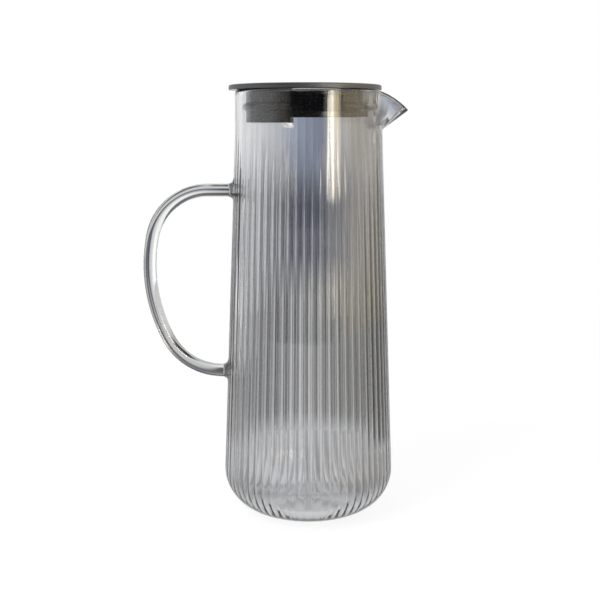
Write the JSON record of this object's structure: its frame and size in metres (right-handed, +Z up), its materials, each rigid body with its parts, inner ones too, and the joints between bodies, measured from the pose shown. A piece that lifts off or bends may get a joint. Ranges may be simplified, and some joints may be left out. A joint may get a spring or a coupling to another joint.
{
  "type": "lidded glass pitcher",
  "caption": "Tall ribbed smoked glass pitcher with a pulled beak, a bent glass rod handle and a steel capped lid that turns in the mouth and lifts off.",
  "frame": {"origin": "centre of the flat foot, on the axis of the glass body", "axes": "+Z up along the body's axis, +X towards the beak, the handle is on -X, and -Y is the side that faces the picture's camera"},
  "size_m": [0.1599, 0.1046, 0.26],
  "materials": {
    "smoked_glass": "smoked grey, moulded ribs outside, fire polished rim",
    "handle_glass": "pale grey solid rod, smooth",
    "cap_steel": "dark coated steel, fine circular brushing",
    "plug_plastic": "near black plastic, glossy",
    "seal_silicone": "translucent pale silicone, satin"
  },
  "bodies": {
    "jug": {"glass_body": "smoked_glass", "handle": "handle_glass"},
    "seal": {"seal_ring": "seal_silicone"},
    "lid": {"lid_cap": "cap_steel", "lid_plug": "plug_plastic"}
  },
  "joints": [
    {"name": "lid_lift", "type": "slide", "parent": "jug", "child": "seal", "axis": [0, 0, 1], "range_m": [0, 0.06]},
    {"name": "lid_turn", "type": "hinge", "parent": "seal", "child": "lid", "pos_m": [-0.0007, 0, 0.2572], "axis": [0, 0, 1], "continuous": true}
  ]
}
